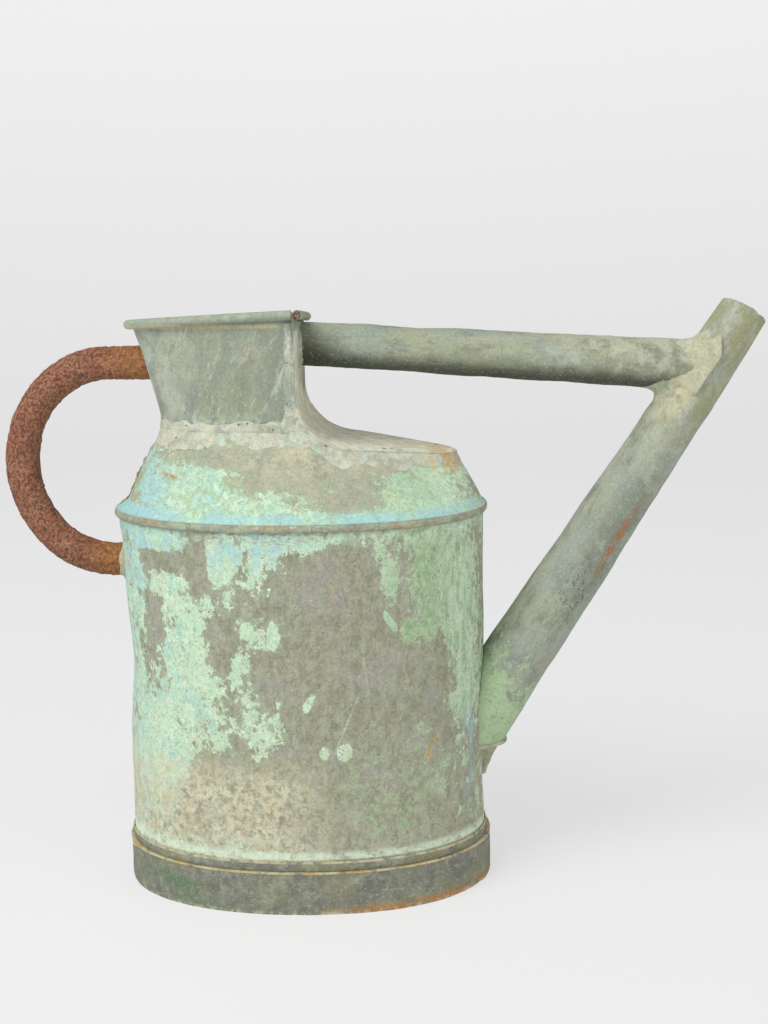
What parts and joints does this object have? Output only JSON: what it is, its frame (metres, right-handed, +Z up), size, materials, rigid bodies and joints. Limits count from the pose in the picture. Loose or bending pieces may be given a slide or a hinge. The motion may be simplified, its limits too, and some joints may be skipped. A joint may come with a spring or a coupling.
{
  "type": "watering can",
  "caption": "Old verdigris copper watering can: oval drum, sloped shoulder with roofed front, flared D-shaped mouth, rusty iron loop handle, carrying tube and open tapered spout.",
  "frame": {"origin": "on the ground under the middle of the whole can's bounding box", "axes": "+X towards the spout's tip, +Y away from the side that the picture shows, +Z up"},
  "size_m": [0.5418, 0.1908, 0.418],
  "materials": {
    "verdigris_copper": "sheet copper under flaking mint-green verdigris, matt and dry",
    "dark_copper": "sheet copper gone dark olive and brown, matt",
    "grey_copper": "sheet copper weathered to a streaked grey green, matt",
    "solder": "soft solder, pale, lumpy and dusty",
    "rusty_iron": "iron, brown rust all over, pitted"
  },
  "bodies": {
    "root": {"drum_wall": "verdigris_copper", "drum_lap_seam": "verdigris_copper", "shoulder": "verdigris_copper", "floor_pan": "dark_copper", "foot_hoop": "dark_copper", "neck_sheet": "grey_copper", "neck_front_and_roof": "grey_copper", "spout": "grey_copper", "spout_boot": "grey_copper", "carry_handle": "grey_copper", "neck_solder": "solder", "near_corner_solder": "solder", "far_corner_solder": "solder", "shoulder_back_seam": "solder", "saddle_solder": "solder", "carry_neck_solder": "solder", "loop_foot_solder": "solder", "spout_foot_solder": "solder", "loop_handle": "rusty_iron", "neck_rim_wire": "rusty_iron", "front_rim_wire": "rusty_iron"}
  },
  "joints": []
}
